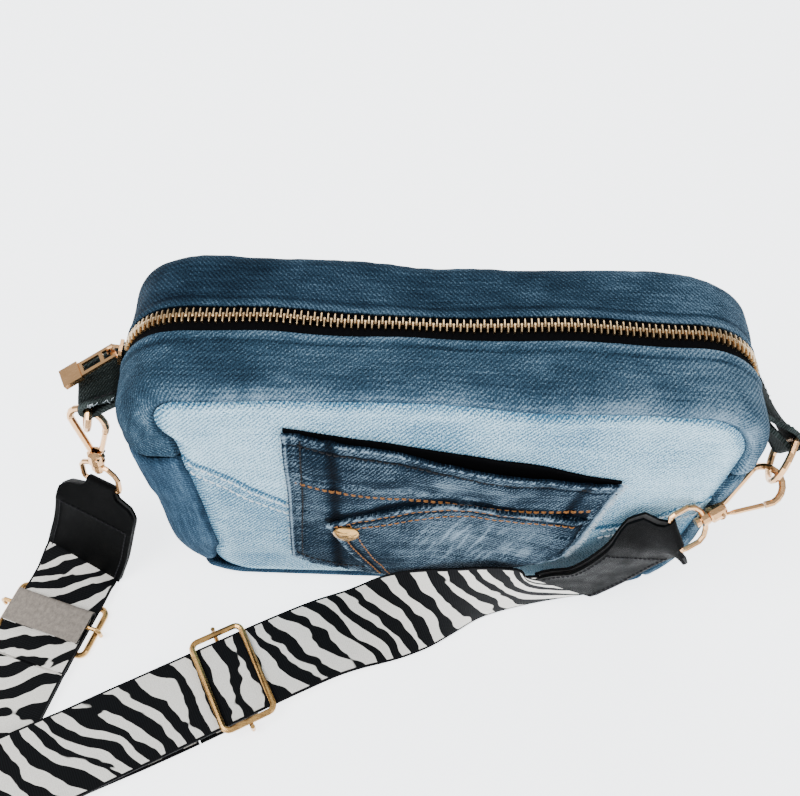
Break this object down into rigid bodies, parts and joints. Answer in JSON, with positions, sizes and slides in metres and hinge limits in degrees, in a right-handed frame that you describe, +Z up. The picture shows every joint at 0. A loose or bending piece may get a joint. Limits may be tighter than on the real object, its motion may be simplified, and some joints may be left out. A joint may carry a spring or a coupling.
{
  "type": "waist pack",
  "caption": "Boxy patchwork denim waist pack with a zip over its rounded top, front pockets, D-ring tabs, swivel hooks and a patterned webbing strap laid out in front.",
  "frame": {"origin": "centre of the base, on the surface the bag stands on", "axes": "+Z up, +X along the bag's width to its right seen from the front, +Y towards its back; the pocketed front faces -Y"},
  "size_m": [0.442, 0.2864, 0.1526],
  "materials": {
    "light_denim": "washed denim",
    "mid_denim": "denim twill",
    "dark_denim": "dark denim twill",
    "tab_denim": "charcoal denim twill",
    "zip_tape": "woven tape",
    "lining": "plain weave",
    "zip_brass": "satin",
    "rose_gold": "polished plate",
    "antique_brass": "antique",
    "black_leather": "semi-matte",
    "webbing": "two-tone woven pattern"
  },
  "bodies": {
    "bag": {"back_panel": "mid_denim", "base_gusset": "dark_denim", "coin_pocket": "dark_denim", "front_panel_lower": "light_denim", "front_panel_upper": "light_denim", "left_side_gusset": "mid_denim", "right_side_gusset": "light_denim", "lining": "lining", "pocket_panel": "dark_denim", "pocket_rivet": "antique_brass", "left_tab": "tab_denim", "right_tab": "tab_denim", "zip_gusset_back": "dark_denim", "zip_gusset_front": "mid_denim", "zip_tape_back": "zip_tape", "zip_tape_front": "zip_tape", "zip_teeth_back": "zip_brass", "zip_teeth_front": "zip_brass", "left_strap_leather": "black_leather", "right_strap_leather": "black_leather", "left_swivel_ring": "rose_gold", "right_swivel_ring": "rose_gold", "strap_left": "webbing", "strap_right": "webbing"},
    "zip_slider": {"zip_slider": "rose_gold"},
    "zip_pull": {"zip_pull": "rose_gold"},
    "left_d_ring": {"left_d_ring": "rose_gold"},
    "left_hook": {"left_hook_body": "rose_gold", "left_hook_pin": "rose_gold"},
    "left_gate": {"left_hook_gate": "rose_gold"},
    "right_d_ring": {"right_d_ring": "rose_gold"},
    "right_hook": {"right_hook_body": "rose_gold", "right_hook_pin": "rose_gold"},
    "right_gate": {"right_hook_gate": "rose_gold"},
    "left_adjuster": {"left_adjuster_frame": "antique_brass", "left_adjuster_bar": "antique_brass", "strap_right_end": "webbing"},
    "right_adjuster": {"right_adjuster_frame": "antique_brass", "right_adjuster_bar": "antique_brass", "strap_left_end": "webbing"}
  },
  "joints": [
    {"name": "zip_slider_run", "type": "hinge", "parent": "bag", "child": "zip_slider", "pos_m": [-0.093, 0, 0.12], "axis": [0, 1, 0], "range_deg": [0, 70]},
    {"name": "zip_pull_lift", "type": "hinge", "parent": "zip_slider", "child": "zip_pull", "pos_m": [-0.1288, 0, 0.12761], "axis": [-0.4472, 0.8944, 0], "range_deg": [0, 75]},
    {"name": "left_d_ring_swing", "type": "hinge", "parent": "bag", "child": "left_d_ring", "pos_m": [-0.14, -0.009, 0.113], "axis": [0.2, -0.9798, 0], "range_deg": [-3, 3]},
    {"name": "left_hook_swivel", "type": "hinge", "parent": "bag", "child": "left_hook", "pos_m": [-0.14569, -0.01354, 0.06864], "axis": [0.05, 0.13, 0.9902], "range_deg": [-8, 8]},
    {"name": "left_gate_press", "type": "hinge", "parent": "left_hook", "child": "left_gate", "pos_m": [-0.14343, -0.01376, 0.07118], "axis": [-0.2496, -0.9584, 0.1385], "range_deg": [0, 22], "stiffness_Nm_per_rad": 0.01, "springref_deg": -11.46},
    {"name": "right_d_ring_swing", "type": "hinge", "parent": "bag", "child": "right_d_ring", "pos_m": [0.1444, -0.012, 0.0984], "axis": [-0.1, -0.5001, 0.8602], "range_deg": [-3, 3]},
    {"name": "right_hook_swivel", "type": "hinge", "parent": "bag", "child": "right_hook", "pos_m": [0.11431, -0.03793, 0.08267], "axis": [0.8608, 0.4404, 0.2552], "range_deg": [-8, 8]},
    {"name": "right_gate_press", "type": "hinge", "parent": "right_hook", "child": "right_gate", "pos_m": [0.11767, -0.03842, 0.08239], "axis": [-0.0014, -0.4994, 0.8664], "range_deg": [0, 22], "stiffness_Nm_per_rad": 0.01, "springref_deg": -11.46},
    {"name": "left_adjuster_slide", "type": "slide", "parent": "bag", "child": "left_adjuster", "axis": [0.297, 0.9549, 0], "range_m": [0, 0.006]},
    {"name": "right_adjuster_slide", "type": "slide", "parent": "bag", "child": "right_adjuster", "axis": [0.8832, 0.4691, 0], "range_m": [0, 0.028]}
  ]
}
